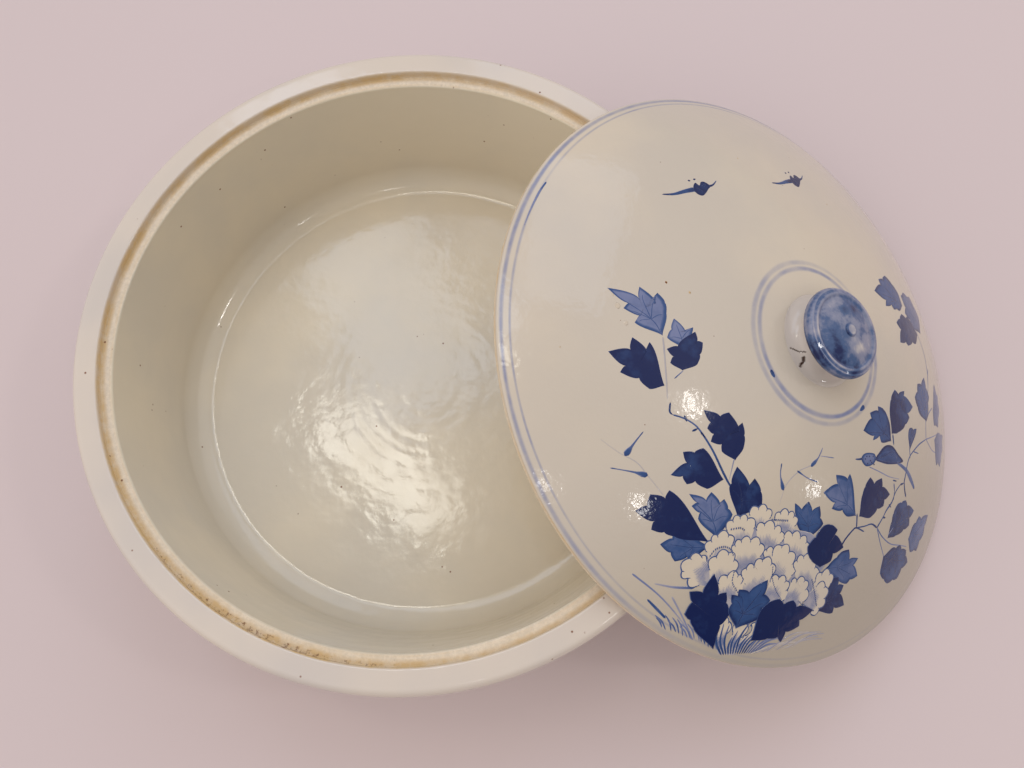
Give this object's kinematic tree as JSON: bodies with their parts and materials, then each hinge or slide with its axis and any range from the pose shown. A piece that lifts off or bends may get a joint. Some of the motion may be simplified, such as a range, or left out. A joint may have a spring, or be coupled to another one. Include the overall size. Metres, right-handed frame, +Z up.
{
  "type": "lidded serving bowl",
  "caption": "Wide round serving bowl on a foot ring, with a recessed lid seat in its rim, and its domed lid with a turned button knob leaning on the rim.",
  "frame": {"origin": "on the bowl's axis, in the plane of the table that its foot ring stands on", "axes": "+Z up along the bowl's axis; +X from the bowl's axis towards the leaning lid's low edge; +Y completes the right-handed frame"},
  "size_m": [0.3599, 0.25, 0.1134],
  "materials": {
    "bowl_glaze": "glossy grey-cream glaze, with a bare ledge stained brown",
    "lid_glaze": "glossy cream glaze over cobalt brush painting, with a bare tread",
    "knob_glaze": "glossy clear glaze over a mottled cobalt wash"
  },
  "bodies": {
    "bowl": {"bowl": "bowl_glaze"},
    "lid": {"lid": "lid_glaze", "lid_knob": "knob_glaze"}
  },
  "joints": [
    {"name": "lid_lift", "type": "slide", "parent": "bowl", "child": "lid", "axis": [0, 0, 1], "range_m": [0, 0.12]}
  ]
}
